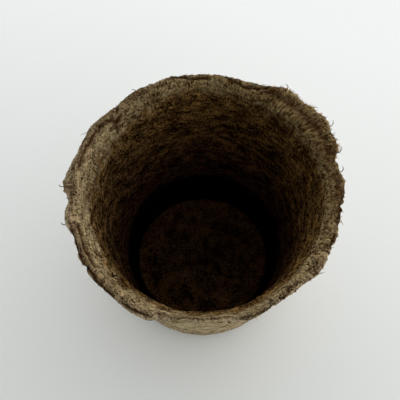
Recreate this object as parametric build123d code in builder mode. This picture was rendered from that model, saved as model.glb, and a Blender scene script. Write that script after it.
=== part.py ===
"""A round peat pot: one moulded felt of peat and wood fibre, flared at the mouth, with loose fibres in its lip.

The axis of the pot is Z, the foot stands on Z = 0, and X and Y cross on the axis. Lengths are millimetres.
Azimuths are degrees that turn from +X towards +Y, and a station is one of the equal steps of azimuth.
"""

import os
from math import cos, radians, sin

from build123d import *

# Overall sizes of the felt body. The mouth sets them: the wall stands in under the lip and tapers to the base
pot_height = 65.0
lip_reach = 40.5
lip_overhang = 4.1
wall_taper = 5.0
wall_thickness = 2.9
overrun = 1.0

# The pot was squeezed out of round before it dried, so its wall bulges on one side, more towards the mouth
wall_bulge = 2.2
bulge_azimuth = 270.0
bulge_falloff = 3

# The base is pushed up, so that the pot stands on a ring, and its top is a raised disc inside a gutter
heel_height = 1.7
heel_run = 1.8
heel_level_shares = ((0.00, 1.00), (0.24, 0.39), (1.00, 0.00))
foot_ring_width = 6.0
punt_depth = 2.0
punt_slope_run = 1.0
disc_thickness = 2.8
gutter_width = 2.8
gutter_depth = 1.3
gutter_run = 0.8
gutter_chamfer = 0.4
disc_edge_chamfer = 0.5

# Inside, the former had a narrower cup at its end, which leaves a shoulder, and rings that leave ripples
shoulder_height = 18.6
shoulder_rise = 1.8
shoulder_depth = 1.0
cup_foot_share = 0.25
ripple_depth = 0.5
ripple_height_shares = (0.40, 0.55, 0.70, 0.85)

# The lip flares out of the wall over this height, and its felt ends in a blunt nose
lip_height = 9.5
nose_rounding = 0.7
nose_drop = 1.0

# The mouth's inside flares up to a crease, and the pale face of the lip rises from the crease to the crest
mouth_root_drop = 2.6
mouth_flare = 3.5
crease_drop = 0.9
crest_run = 1.4
crest_edge_share = 0.45

# Levels of the wall between its heel and the lip's root, as shares of the root's height
wall_level_shares = (0.22, 0.41, 0.60, 0.80)

# Levels between the root and the nose of the lip, and between the root and the crease of the mouth: share of
# the lip's height, share of the flare, and how much of the raggedness the felt takes there
lip_level_shares = ((0.00, 0.00, 0.10), (0.40, 0.26, 0.30), (0.64, 0.57, 0.62), (0.80, 0.86, 0.90))
mouth_level_shares = ((0.21, 0.20, 0.12), (0.50, 0.51, 0.45), (0.78, 0.83, 0.85))

# Reach of the ragged edge at each station, as shares of its mean reach
lip_reach_shares = (
    1.020, 1.007, 1.072, 1.101, 1.091, 1.109, 1.062, 1.027, 1.030,
    1.032, 1.032, 1.020, 1.017, 0.995, 0.983, 0.990, 0.975, 0.978,
    1.007, 0.970, 0.990, 0.985, 1.002, 1.015, 1.030, 1.040, 1.007,
    0.998, 1.015, 1.017, 1.005, 1.000, 1.015, 1.005, 1.000, 1.000,
)
stations = len(lip_reach_shares)

# Reach of the crease at each station, as shares of its mean reach
crease_reach_shares = (
    0.986, 0.982, 0.965, 0.958, 0.957, 0.959, 0.967, 0.978, 0.989,
    0.997, 0.993, 0.992, 0.992, 1.000, 1.008, 1.014, 1.004, 0.995,
    0.986, 0.976, 1.001, 1.016, 1.038, 1.049, 1.053, 1.054, 1.057,
    1.057, 1.057, 1.049, 1.030, 1.016, 1.003, 0.992, 0.981, 0.981,
)

# Hollows where the top of the lip sags: where each one is centred, and its share of the full depth
sag_depth = 1.1
sag_cutter_radius = 32.0
sag_azimuths = (10, 66, 127, 186, 226, 288, 334)
sag_depth_shares = (0.80, 1.00, 0.55, 0.90, 0.50, 1.00, 0.60)

# Curled rootlets: peat rootlets that stand out of the nose of the lip
rootlet_diameter = 0.40
rootlet_sides = 6
rootlet_bury = 1.9
rootlet_azimuths = (27, 15, 6, 38, 52, 181, 122, 199)
rootlet_stems = (0.7, 0.6, 0.5, 0.8, 0.9, 0.6, 0.8, 0.5)
rootlet_curl_radii = (2.2, 1.4, 1.0, 1.2, 1.0, 1.1, 1.2, 1.0)
rootlet_turn_angles = (75, 110, 130, -75, 130, -95, 80, -100)
rootlet_tilt_angles = (15, 25, 30, 10, 20, 25, -10, 15)

# Straight splinters: flat wood fibres that lie along the edge of the lip and stand off it
splinter_width = 0.42
splinter_thickness = 0.24
splinter_bury = 1.6
splinter_lengths = (7.0, 5.0, 5.5)
splinter_azimuths = (311, 347, 149)
splinter_lean_angles = (68.0, -66.0, 66.0)
splinter_rise_angles = (3.0, 5.0, 6.0)


def share_at(azimuth):
    """Reach share of the ragged edge at any azimuth, in a straight line between whole stations."""
    station = azimuth * stations / 360
    low = int(station)
    part = station - low
    here = lip_reach_shares[low % stations]
    following = lip_reach_shares[(low + 1) % stations]
    return here + part * (following - here)


def bulge_at(azimuth, height):
    """How far the wall bulges at an azimuth and a height."""
    facing = max(cos(radians(azimuth - bulge_azimuth)), 0)
    return wall_bulge * facing**bulge_falloff * min(height / lip_root, 1)


def ragged_ring(height, radius, edge_part=0, crease_part=0):
    """Points of a closed outline round the axis, which takes those parts of the edge's and the crease's course.

    Whatever part follows neither of them follows the bulge of the wall.
    """
    points = []
    for station, (edge_share, crease_share) in enumerate(zip(lip_reach_shares, crease_reach_shares)):
        azimuth = 360 * station / stations
        reach = radius * (1 + edge_part * (edge_share - 1) + crease_part * (crease_share - 1))
        reach += max(1 - edge_part - crease_part, 0) * bulge_at(azimuth, height)
        points.append((reach * cos(radians(azimuth)), reach * sin(radians(azimuth))))
    return points


def ruled_body(levels):
    """Solid through the outlines of all levels, straight between one and the next."""
    with BuildPart() as body:
        for height, *course in levels:
            with BuildSketch(Plane.XY.offset(height)):
                with BuildLine():
                    Spline(ragged_ring(height, *course), periodic=True)
                make_face()
        loft(ruled=True)
    return body.part


def wall_outside(height):
    """Radius of the tapered outside of the wall at a height, without its bulge."""
    return base_radius + wall_taper * height / lip_root


def wall_inside(height):
    """Radius of the inside of the wall at a height, without its bulge and ripples."""
    return wall_outside(height) - wall_thickness


def frame_at(azimuth, radius, height):
    """Plane at a point of the lip, with X outwards, Y along the lip and Z up."""
    outward = (cos(radians(azimuth)), sin(radians(azimuth)), 0)
    return Plane(origin=(radius * outward[0], radius * outward[1], height), x_dir=outward, z_dir=(0, 0, 1))


lip_root = pot_height - lip_height
base_radius = lip_reach - lip_overhang - wall_taper
punt_radius = base_radius - foot_ring_width
disc_top = punt_depth + disc_thickness
gutter_floor = disc_top - gutter_depth
cup_foot_radius = wall_inside(gutter_floor) - shoulder_depth * cup_foot_share
disc_radius = cup_foot_radius - gutter_width
nose_height = pot_height - nose_drop
fibre_height = nose_height - rootlet_diameter

# Levels of the outside, from the foot up: height, mean radius and part of the edge's course
outside_levels = [
    (heel_height * rise_share, wall_outside(heel_height * rise_share) - heel_run * run_share)
    for rise_share, run_share in heel_level_shares
]
for share in wall_level_shares:
    outside_levels.append((lip_root * share, wall_outside(lip_root * share)))
for rise_share, flare_share, edge_part in lip_level_shares:
    outside_levels.append(
        (lip_root + lip_height * rise_share, wall_outside(lip_root) + lip_overhang * flare_share, edge_part)
    )
outside_levels.append((nose_height, lip_reach, 1))
outside_levels.append((pot_height, lip_reach - nose_rounding, 1))

# Levels of the hollow, from the gutter up: height, mean radius, parts of the edge's and of the crease's course
hollow_levels = [
    (gutter_floor, cup_foot_radius - gutter_chamfer),
    (gutter_floor + gutter_chamfer, cup_foot_radius),
    (shoulder_height, wall_inside(shoulder_height) - shoulder_depth),
    (shoulder_height + shoulder_rise, wall_inside(shoulder_height + shoulder_rise)),
]
for ring, share in enumerate(ripple_height_shares):
    height = share * (lip_root + overrun)
    hollow_levels.append((height, wall_inside(height) + ripple_depth / 2 * (-1) ** ring))
mouth_root = lip_root - mouth_root_drop
hollow_levels.append((mouth_root, wall_inside(mouth_root)))
for rise_share, flare_share, crease_part in mouth_level_shares:
    hollow_levels.append(
        (lip_root + lip_height * rise_share, wall_inside(lip_root) + mouth_flare * flare_share, 0, crease_part)
    )
crease_radius = wall_inside(lip_root) + mouth_flare
hollow_levels.append((pot_height - crease_drop, crease_radius, 0, 1))
past_crest = (crease_drop + overrun) / crease_drop
hollow_levels.append(
    (
        pot_height + overrun,
        crease_radius + crest_run * past_crest,
        crest_edge_share * past_crest,
        1 - crest_edge_share * past_crest,
    )
)

# Curled rootlets, each a straight stem with its root buried in the nose of the lip, and then a curl
rootlet_sockets = []
with BuildPart() as curled_rootlets:
    for azimuth, stem, curl_radius, turn, tilt in zip(
        rootlet_azimuths, rootlet_stems, rootlet_curl_radii, rootlet_turn_angles, rootlet_tilt_angles
    ):
        root_radius = lip_reach * share_at(azimuth) - rootlet_bury
        bed = frame_at(azimuth, root_radius, fibre_height).rotated((tilt, 0, 0))
        with BuildLine(bed) as rootlet_path:
            stem_line = Line((0, 0), (rootlet_bury + stem, 0))
            JernArc(stem_line @ 1, stem_line % 1, curl_radius, turn)
        with BuildSketch(Plane(origin=rootlet_path.line @ 0, z_dir=rootlet_path.line % 0)) as rootlet_section:
            RegularPolygon(rootlet_diameter / 2, rootlet_sides)
        sweep(path=rootlet_path.line)
        rootlet_sockets.append(extrude(rootlet_section.sketch, amount=rootlet_bury + stem, mode=Mode.PRIVATE))
curled_rootlets.part.label = "curled_rootlets"

# Straight splinters, which leave the lip at a slant along its edge
with BuildPart() as straight_splinters:
    for azimuth, length, lean, rise in zip(
        splinter_azimuths, splinter_lengths, splinter_lean_angles, splinter_rise_angles
    ):
        root_radius = lip_reach * share_at(azimuth) - nose_rounding - splinter_bury * cos(radians(lean))
        bed = frame_at(azimuth, root_radius, fibre_height)
        outward = bed.x_dir * cos(radians(lean)) + bed.y_dir * sin(radians(lean))
        direction = outward * cos(radians(rise)) + bed.z_dir * sin(radians(rise))
        with BuildSketch(Plane(origin=bed.origin, z_dir=direction)):
            Rectangle(splinter_width, splinter_thickness)
        extrude(amount=length)
straight_splinters.part.label = "straight_splinters"

# The felt body
with BuildPart() as pot_shell:
    add(ruled_body(outside_levels))

    # The middle of the base is pushed up
    with BuildSketch(Plane.XZ):
        with BuildLine():
            Polyline(
                (0, -overrun),
                (punt_radius + punt_slope_run * overrun / punt_depth, -overrun),
                (punt_radius - punt_slope_run, punt_depth),
                (0, punt_depth),
                close=True,
            )
        make_face()
    revolve(axis=Axis.Z, mode=Mode.SUBTRACT)

    # The former leaves the hollow, all but the disc
    with BuildPart(mode=Mode.SUBTRACT):
        add(ruled_body(hollow_levels))
        with BuildSketch(Plane.XZ) as disc_section:
            with BuildLine():
                Polyline(
                    (0, gutter_floor - overrun),
                    (disc_radius + gutter_run, gutter_floor - overrun),
                    (disc_radius + gutter_run, gutter_floor),
                    (disc_radius, disc_top),
                    (0, disc_top),
                    close=True,
                )
            make_face()
            disc_edge = disc_section.vertices().sort_by_distance((disc_radius, disc_top))[0]
            chamfer(disc_edge, disc_edge_chamfer)
        revolve(axis=Axis.Z, mode=Mode.SUBTRACT)

    # The top of the lip sags here and there
    for azimuth, share in zip(sag_azimuths, sag_depth_shares):
        bed = frame_at(azimuth, 0, pot_height + sag_cutter_radius - sag_depth * share)
        with Locations(Plane(origin=bed.origin, z_dir=bed.x_dir)):
            Cylinder(
                sag_cutter_radius,
                lip_reach * 2,
                align=(Align.CENTER, Align.CENTER, Align.MIN),
                mode=Mode.SUBTRACT,
            )

    # Sockets in the felt that hold the fibres
    add([*rootlet_sockets, straight_splinters.part], mode=Mode.SUBTRACT)
pot_shell.part.label = "pot_shell"

os.makedirs("parts", exist_ok=True)
for piece in (pot_shell, curled_rootlets, straight_splinters):
    export_step(piece.part, f"parts/{piece.part.label}.step")
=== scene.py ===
import random
from math import atan2, ceil, cos, exp, hypot, inf, pi, radians, sin

import bmesh
import bpy
from mathutils import Matrix, Quaternion, Vector, noise
from mathutils.bvhtree import BVHTree


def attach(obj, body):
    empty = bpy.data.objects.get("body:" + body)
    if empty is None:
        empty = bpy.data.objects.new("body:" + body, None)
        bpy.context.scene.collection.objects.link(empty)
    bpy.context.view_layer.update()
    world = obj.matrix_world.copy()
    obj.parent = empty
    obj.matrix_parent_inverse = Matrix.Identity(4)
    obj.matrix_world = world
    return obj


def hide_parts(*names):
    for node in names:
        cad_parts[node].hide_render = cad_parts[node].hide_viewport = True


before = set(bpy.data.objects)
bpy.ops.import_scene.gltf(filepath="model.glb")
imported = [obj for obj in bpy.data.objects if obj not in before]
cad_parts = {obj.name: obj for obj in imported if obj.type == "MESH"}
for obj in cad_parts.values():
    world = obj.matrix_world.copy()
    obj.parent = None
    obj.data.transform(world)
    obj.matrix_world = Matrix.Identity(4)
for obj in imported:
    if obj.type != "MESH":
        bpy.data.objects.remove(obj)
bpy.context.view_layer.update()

# Moulded felt
# The pot itself: peat and wood fibre, sucked onto a perforated former, pressed and dried. Wall, base and
# lip are one felt, about 2.5 mm thick. The lip is a torn edge that was never trimmed, so it wanders, sags
# and frays.
mm = 0.001
spin_steps = 60
cuts_between = 8
columns = spin_steps * (cuts_between + 1)
nominal_edge = 40.5
nominal_crease = 36.9

# The half section, from the middle of the underside round the foot, up, over the lip and down to the disc.
# Each point has its radius and height in millimetres, how much of the edge's reach, the crease's reach, the
# bulge and the crest's rise it takes, how much relief its felt has, and the gap between rows after it.
section = (
    (0.0, 2.0, 0.00, 0.00, 0.00, 0.00, 0.5, 3.4),
    (23.6, 2.0, 0.00, 0.00, 0.00, 0.00, 0.5, 1.1),
    (24.6, 1.7, 0.00, 0.00, 0.00, 0.00, 0.3, 0.9),
    (25.5, 0.3, 0.00, 0.00, 0.00, 0.00, 0.1, 0.8),
    (26.2, 0.0, 0.00, 0.00, 0.00, 0.00, 0.0, 1.8),
    (29.6, 0.0, 0.00, 0.00, 0.00, 0.00, 0.0, 1.2),
    (30.7, 0.4, 0.00, 0.00, 0.00, 0.00, 0.3, 0.8),
    (31.4, 1.7, 0.00, 0.00, 0.00, 0.00, 0.8, 1.5),
    (31.9, 6.0, 0.00, 0.00, 0.05, 0.00, 1.0, 1.8),
    (33.9, 28.0, 0.00, 0.00, 0.35, 0.00, 1.0, 1.8),
    (35.9, 51.0, 0.03, 0.00, 0.90, 0.00, 1.0, 1.2),
    (36.5, 56.5, 0.12, 0.00, 0.90, 0.05, 1.0, 0.8),
    (37.4, 59.3, 0.30, 0.00, 0.75, 0.30, 1.0, 0.7),
    (38.7, 61.6, 0.62, 0.00, 0.45, 0.70, 1.0, 0.5),
    (39.9, 63.1, 0.90, 0.00, 0.15, 0.95, 0.9, 0.4),
    (40.5, 64.0, 1.00, 0.00, 0.00, 1.00, 0.7, 0.35),
    (40.3, 64.7, 1.00, 0.00, 0.00, 1.00, 0.8, 0.35),
    (39.5, 65.0, 0.80, 0.20, 0.00, 1.00, 1.0, 0.38),
    (38.3, 65.0, 0.45, 0.55, 0.00, 1.00, 1.0, 0.38),
    (37.5, 64.7, 0.15, 0.85, 0.00, 1.00, 1.0, 0.38),
    (36.9, 64.1, 0.00, 1.00, 0.00, 0.90, 1.0, 0.45),
    (36.3, 62.9, 0.00, 0.85, 0.30, 0.70, 1.0, 0.5),
    (35.2, 60.2, 0.00, 0.45, 0.75, 0.30, 1.0, 0.55),
    (34.1, 57.5, 0.00, 0.12, 1.00, 0.05, 1.0, 0.7),
    (33.4, 54.0, 0.00, 0.00, 0.95, 0.00, 1.0, 1.0),
    (32.7, 48.0, 0.00, 0.00, 0.80, 0.00, 1.0, 0.95),
    (32.4, 39.6, 0.00, 0.00, 0.60, 0.00, 1.0, 1.0),
    (31.2, 31.1, 0.00, 0.00, 0.45, 0.00, 1.0, 1.1),
    (30.6, 22.4, 0.00, 0.00, 0.25, 0.00, 1.0, 0.8),
    (29.9, 20.4, 0.00, 0.00, 0.20, 0.00, 0.8, 0.7),
    (29.2, 18.6, 0.00, 0.00, 0.15, 0.00, 0.7, 1.2),
    (28.9, 12.0, 0.00, 0.00, 0.05, 0.00, 0.7, 1.5),
    (28.7, 6.0, 0.00, 0.00, 0.00, 0.00, 0.6, 1.0),
    (28.6, 4.2, 0.00, 0.00, 0.00, 0.00, 0.4, 0.7),
    (28.1, 3.5, 0.00, 0.00, 0.00, 0.00, 0.3, 1.2),
    (27.0, 3.5, 0.00, 0.00, 0.00, 0.00, 0.3, 0.7),
    (26.4, 3.9, 0.00, 0.00, 0.00, 0.00, 0.5, 0.6),
    (25.9, 4.6, 0.00, 0.00, 0.00, 0.00, 0.8, 0.6),
    (25.2, 4.8, 0.00, 0.00, 0.00, 0.00, 1.0, 1.3),
    (12.0, 4.8, 0.00, 0.00, 0.00, 0.00, 1.0, 1.6),
    (0.0, 4.8, 0.00, 0.00, 0.00, 0.00, 1.0, 1.6),
)

# The run along the felt is counted in millimetres from this point of the section, on top of the lip. It is
# below zero outside. These runs bound the lip's marks and the rings of the wall, and this radius the disc.
crest_point = 17
lip_run = (-3.0, 9.0)
ring_run = (5.0, 50.0)
disc_radius = 25.5

# What changes round the pot, as azimuth in degrees from +X towards +Y and a value in millimetres
edge_reach = (
    (0, 41.5), (3, 41.4), (6, 41.0), (9, 41.1), (12, 41.3), (14, 41.8), (16, 43.0), (20, 43.5),
    (25, 43.6), (28, 44.7), (31, 45.2), (34, 44.8), (38, 44.6), (41, 43.8), (45, 44.5), (50, 44.9),
    (53, 44.8), (56, 43.9), (60, 42.8), (64, 42.4), (70, 41.9), (76, 41.5), (81, 41.7), (86, 41.9),
    (91, 41.7), (96, 41.5), (101, 41.8), (105, 41.9), (109, 41.3), (114, 40.9), (119, 41.2), (125, 41.0),
    (130, 40.3), (135, 39.6), (139, 39.8), (146, 40.0), (151, 40.0), (156, 39.5), (161, 39.3),
    (165, 39.2), (170, 39.6), (175, 40.0), (179, 40.8), (183, 40.5), (186, 39.4), (190, 39.3),
    (194, 40.1), (198, 40.3), (203, 39.8), (207, 39.6), (211, 40.0), (215, 40.7), (220, 40.6),
    (225, 41.0), (231, 41.0), (237, 41.4), (242, 41.9), (247, 42.2), (251, 42.1), (254, 41.2),
    (259, 40.6), (265, 40.3), (272, 40.4), (279, 40.9), (285, 41.4), (291, 41.1), (297, 40.5),
    (304, 40.3), (311, 40.4), (317, 41.0), (322, 41.1), (328, 40.7), (334, 40.8), (340, 40.5),
    (346, 40.4), (352, 40.7), (356, 41.3),
)
crease_reach = (
    (0, 36.4), (12, 36.2), (20, 35.6), (35, 35.3), (50, 35.4), (62, 35.8), (75, 36.3), (90, 36.8),
    (105, 36.6), (120, 36.6), (135, 37.0), (148, 37.4), (165, 36.9), (178, 36.5), (190, 36.0),
    (198, 36.8), (208, 37.3), (214, 38.0), (222, 38.4), (234, 38.8), (250, 38.9), (265, 39.0),
    (280, 39.0), (292, 38.6), (300, 38.0), (310, 37.5), (325, 36.8), (345, 36.1),
)
crest_rise = (
    (0, -0.3), (10, -0.9), (22, -0.1), (40, 0.1), (55, -0.3), (66, -1.1), (78, -0.2), (100, 0.1), (115, 0.0),
    (127, -0.6), (140, -0.1), (160, 0.1), (174, -0.2), (186, -1.0), (198, -0.1), (212, 0.0), (226, -0.5),
    (240, 0.0), (262, 0.1), (276, -0.2), (288, -1.1), (300, -0.2), (320, 0.0), (334, -0.6), (348, 0.0),
)
# How far the pale face of the lip reaches into the pot, in run. It reaches furthest at the left, where the
# pale is partly painted light on the flare, which faces the light there.
pale_reach = (
    (0, 4.4), (30, 5.2), (60, 5.0), (80, 4.2), (100, 4.4), (112, 6.0), (128, 6.6), (140, 8.6), (150, 9.6),
    (180, 10.0), (210, 9.4), (235, 8.6), (270, 7.0), (300, 5.2), (330, 4.6),
)
# How far down the wall its brown reaches, in run, before the near-black painted shade of the ring begins; the
# shade starts lower at the left, where the wall is lit
brown_reach = (
    (0, 50.0), (45, 49.0), (90, 48.5), (135, 49.5), (165, 54.0), (190, 57.0), (220, 56.0), (270, 52.0),
    (320, 51.0),
)
edge_tatter = (
    (0, 0.35), (14, 0.30), (30, 0.35), (52, 0.30), (70, 0.25), (100, 0.25), (125, 0.25), (140, 0.15),
    (160, 0.12), (182, 0.35), (195, 0.18), (215, 0.15), (235, 0.10), (250, 0.08), (262, 0.05),
    (300, 0.06), (318, 0.15), (338, 0.25),
)

# The pot was squeezed out of round before it dried, so its wall bulges towards the viewer
bulge_reach = 2.2
bulge_azimuth = 270.0
bulge_falloff = 3

# Creases, tears and hollows of the lip: points as azimuth and radius, then depth, half width and how dark,
# the dark being painted shade in the crease.
# The narrow ones are drawn wider and darker than they are, so that they show at the photograph's size.
least_half_width = 0.42
fold_painted_shade = 1.9
pit_depth = 0.6
lip_folds = (
    (((201, 37.0), (207, 37.2), (211, 37.4), (214, 37.9), (217, 37.9), (222, 38.3)), 0.8, 0.30, 0.58),
    (((203, 39.2), (207, 39.4), (210, 39.6), (213, 40.1), (218, 40.2), (226, 40.3)), 0.4, 0.26, 0.80),
    (((226, 40.8), (231, 40.8), (236, 41.0)), 0.3, 0.26, 0.80),
    (((145, 37.6), (152, 37.6), (158, 37.2), (164, 37.3), (172, 37.0)), 0.4, 0.28, 0.55),
    (((134.5, 39.2), (136.5, 37.7)), 0.9, 0.24, 0.70),
    (((135.5, 36.6), (138, 36.2), (140, 36.3), (142, 37.0), (144, 37.6)), 0.7, 0.30, 0.58),
    (((141, 35.8), (142, 34.6), (143.5, 33.9)), 0.6, 0.28, 0.55),
    (
        ((59, 42.3), (62, 41.2), (64, 40.2), (66, 39.7), (68, 39.2), (70, 39.3), (72, 39.7), (75, 40.1),
         (79, 41.2)),
        1.0, 0.34, 0.90,
    ),
    (((87, 39.5), (92, 39.4), (95, 39.2), (98, 40.0), (101, 40.8), (106, 41.5)), 0.7, 0.32, 0.75),
    (((12, 39.9), (25, 40.4), (40, 40.5), (52, 40.3), (60, 39.7)), 0.8, 1.60, 0.08),
    (((18, 34.9), (35, 34.3), (50, 34.6)), 0.5, 0.60, 0.08),
    (((240, 41.2), (246, 41.4), (251, 41.2)), 0.4, 0.26, 0.55),
    (((254, 39.9), (262, 40.0), (270, 39.7), (276, 39.9)), 0.3, 0.22, 0.26),
    (((258, 39.3), (268, 39.1), (280, 39.6)), 0.2, 0.20, 0.20),
    (((284, 40.6), (290, 40.8), (297, 40.3)), 0.3, 0.24, 0.45),
    (((300, 40.0), (304, 39.9)), 0.3, 0.24, 0.55),
    (((330, 40.1), (335, 39.9)), 0.4, 0.30, 0.70),
    (((341, 39.7), (348, 39.8), (356, 40.6)), 0.5, 0.50, 0.45),
)

# Patches of the lip that are darker or, below zero, paler than the rest: azimuth, radius, half length along
# the lip and half width across it, then strength. The darker ones are partly darker felt and partly painted
# shade in hollows and on the shaded right side of the lip.
lip_patches = (
    (15, 38.8, 5.5, 2.6, 0.52), (33, 41.0, 9.5, 3.0, 0.50), (48, 41.2, 8.0, 2.8, 0.50),
    (56, 42.6, 2.4, 1.0, 0.60), (4, 39.3, 4.0, 1.2, 0.45), (71, 37.2, 3.5, 1.4, 0.40),
    (33, 36.4, 5.0, 1.1, 0.06), (20, 35.8, 4.0, 0.9, 0.04), (56, 36.6, 5.0, 1.2, 0.05),
    (66, 41.0, 3.6, 0.9, -0.28), (86, 37.8, 3.2, 1.9, -0.22), (103, 41.0, 3.5, 0.6, 0.65),
    (93, 39.2, 3.0, 0.5, 0.45), (101, 34.6, 3.4, 0.8, 0.50), (124, 39.0, 4.0, 0.8, 0.25),
    (152, 38.6, 8.0, 0.9, 0.30), (160, 34.8, 12.0, 1.0, -0.10), (205, 35.4, 9.0, 0.9, -0.06),
    (217, 39.0, 3.0, 0.6, 0.30), (187, 38.3, 2.0, 0.7, 0.30), (182, 37.6, 10.0, 1.6, 0.18),
    (333, 40.0, 4.0, 0.6, 0.40), (346, 40.0, 6.0, 0.7, 0.45), (356, 40.6, 4.0, 1.0, 0.60),
    (341, 38.0, 6.0, 1.0, -0.15), (350, 39.0, 9.0, 2.2, 0.50), (230, 39.8, 10.0, 1.7, 0.30),
    (128, 38.6, 14.0, 3.0, 0.28), (80, 40.6, 6.0, 1.2, 0.18), (30, 44.8, 9.0, 0.8, -0.40),
    (48, 44.6, 7.0, 0.7, -0.40), (20, 43.4, 3.5, 0.7, -0.30), (318, 40.6, 3.0, 0.5, 0.25),
    (290, 39.6, 8.0, 1.3, -0.34), (266, 39.8, 13.0, 1.4, -0.42), (225, 37.6, 8.0, 0.8, 0.06),
    (112, 37.0, 6.0, 2.0, -0.08),
)

# Peat crumbs and pits that show as dark spots in the lip, dark from the crumbs' own colour and from painted
# shade in the pits: azimuth, radius, half width
lip_pits = (
    (35.5, 34.6, 0.55), (47.0, 34.9, 0.40), (22.0, 34.8, 0.40), (32.5, 38.7, 0.30), (22.0, 41.1, 0.32),
    (114.5, 35.8, 0.34), (326.5, 38.7, 0.26), (318.0, 37.6, 0.26), (296.5, 40.6, 0.28), (286.5, 40.8, 0.24),
    (344.5, 40.0, 0.34), (110.5, 39.8, 0.30), (202.5, 38.1, 0.22), (244.5, 38.2, 0.30), (242.0, 40.8, 0.26),
    (150.5, 32.4, 0.34), (172.5, 32.4, 0.34), (166.0, 32.0, 0.30), (228.0, 38.9, 0.24), (131.0, 35.2, 0.24),
)

# Rings that the former left inside the wall: height, how far they stand in, half width
former_rings = (
    (58.4, 0.30, 0.9), (51.0, 0.20, 0.8), (42.2, 0.55, 1.0), (35.4, 0.35, 0.9), (28.0, 0.30, 0.9),
    (20.6, 0.40, 0.9),
)

# Dents in the disc at the bottom, darkened with painted shade: place on the disc, depth and half width
disc_dents = (
    (-1.0, -2.8, 0.7, 1.3), (2.0, -3.2, 0.9, 1.4), (5.4, -3.6, 0.8, 1.2), (7.0, -5.6, 0.8, 1.1),
    (6.2, -7.6, 0.6, 1.0), (3.2, -7.2, 0.7, 1.0), (-14.9, 9.8, 0.8, 1.3), (-8.5, 7.5, 0.8, 1.2),
    (1.1, 5.7, 0.7, 1.3), (15.3, -1.7, 0.8, 1.2), (-19.4, -9.3, 0.7, 1.3), (-0.2, -10.1, 0.8, 1.3),
    (-4.1, -17.8, 0.7, 1.1), (-1.2, -17.8, 0.6, 1.0), (10.5, 12.0, 0.6, 1.4), (-12.0, -15.0, 0.5, 1.5),
    (14.0, -13.0, 0.6, 1.2), (-4.0, 16.5, 0.5, 1.4), (-6.5, 0.5, 0.6, 0.9), (9.8, 3.6, 0.6, 0.8),
    (-11.0, -4.5, 0.6, 1.0), (-15.5, 2.0, 0.5, 0.8), (4.5, -13.0, 0.6, 0.9), (11.5, -8.8, 0.5, 0.8),
    (-7.2, -12.6, 0.6, 0.9), (4.8, 12.8, 0.5, 0.8), (17.5, 6.0, 0.5, 0.9), (-16.8, -4.2, 0.6, 0.9),
)


def curve_between(before, start, end, after, share):
    """Value at a share of the way from start to end, on a smooth curve that also heeds their neighbours."""
    square = share * share
    cube = square * share
    return 0.5 * (
        2 * start
        + (end - before) * share
        + (2 * before - 5 * start + 4 * end - after) * square
        + (3 * start - before - 3 * end + after) * cube
    )


def around(stations, azimuth):
    """Value at an azimuth in degrees, on a smooth closed curve through the stations."""
    count = len(stations)
    azimuth = azimuth % 360
    last = count - 1
    for index, (place, value) in enumerate(stations):
        if place > azimuth:
            break
        last = index
    following = (last + 1) % count
    start_place = stations[last][0]
    span = (stations[following][0] - start_place) % 360
    share = ((azimuth - start_place) % 360) / span
    return curve_between(
        stations[last - 1][1],
        stations[last][1],
        stations[following][1],
        stations[(following + 1) % count][1],
        share,
    )


def section_rows():
    """Every row of the section: its place, shares and relief, with its run along the felt from the crest."""
    rows = []
    for index in range(len(section) - 1):
        before = section[max(index - 1, 0)]
        start = section[index]
        end = section[index + 1]
        after = section[min(index + 2, len(section) - 1)]
        length = hypot(end[0] - start[0], end[1] - start[1])
        parts = ceil(length / start[7])
        if index == crest_point:
            crest_row = len(rows)
        for part in range(parts):
            rows.append([curve_between(*quad, part / parts) for quad in zip(before, start, end, after)][:7])
    rows.append(list(section[-1][:7]))
    run = 0.0
    rows[0].append(run)
    for here, following in zip(rows, rows[1:]):
        run += hypot(following[0] - here[0], following[1] - here[1])
        following.append(run)
    crest_run = rows[crest_row][7]
    for row in rows:
        row[7] -= crest_run
        row[1] = max(row[1], 0.0)
    return rows


rows = section_rows()
felt = bmesh.new()
run_layer = felt.verts.layers.float.new("run")
row_layer = felt.verts.layers.int.new("row")
chain = []
for index, row in enumerate(rows):
    vert = felt.verts.new((row[0], 0.0, row[1]))
    vert[row_layer] = index
    chain.append(vert)
edges = [felt.edges.new(pair) for pair in zip(chain, chain[1:])]
bmesh.ops.spin(
    felt,
    geom=chain + edges,
    cent=(0, 0, 0),
    axis=(0, 0, 1),
    dvec=(0, 0, 0),
    angle=2 * pi,
    steps=spin_steps,
    use_merge=True,
    use_normal_flip=False,
    use_duplicate=False,
)
bmesh.ops.remove_doubles(felt, verts=felt.verts, dist=0.001)
rings = [edge for edge in felt.edges if edge.verts[0][row_layer] == edge.verts[1][row_layer]]
bmesh.ops.subdivide_edges(felt, edges=rings, cuts=cuts_between)
bmesh.ops.recalc_face_normals(felt, faces=felt.faces)


def column_of(vert):
    """Number of the column that a point stands in, counted round the pot."""
    return round(atan2(vert.co.y, vert.co.x) / (2 * pi) * columns) % columns


def point_order(vert):
    """Number of a point, counted round each row and then row by row."""
    return vert[row_layer] * columns + column_of(vert)


def face_order(face):
    """Number that differs for every face, from the numbers of its points."""
    numbers = [vert.index for vert in face.verts]
    return sum(numbers) * 1e6 + max(numbers) - min(numbers)


# The operators above leave points and faces in another order at every run, which would move the fibres that
# are drawn from them, so both are put in order
felt.verts.sort(key=point_order)
felt.verts.index_update()
felt.faces.sort(key=face_order)
felt.faces.index_update()


def azimuth_of(spot):
    """Azimuth of a place in degrees, from 0 to 360."""
    return atan2(spot.y, spot.x) * 180 / pi % 360


def tatter(turn):
    """How far the torn edge juts out at a turn round the pot, beyond its smooth course."""
    spot = Vector((cos(turn), sin(turn), 0.0)) * nominal_edge
    jut = 1.1 * (0.7 - abs(noise.noise(spot / 2.3)) * 2)
    jut += 0.9 * noise.noise(spot / 0.85 + Vector((0, 0, 7.0)))
    return jut * around(edge_tatter, turn * 180 / pi)


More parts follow.
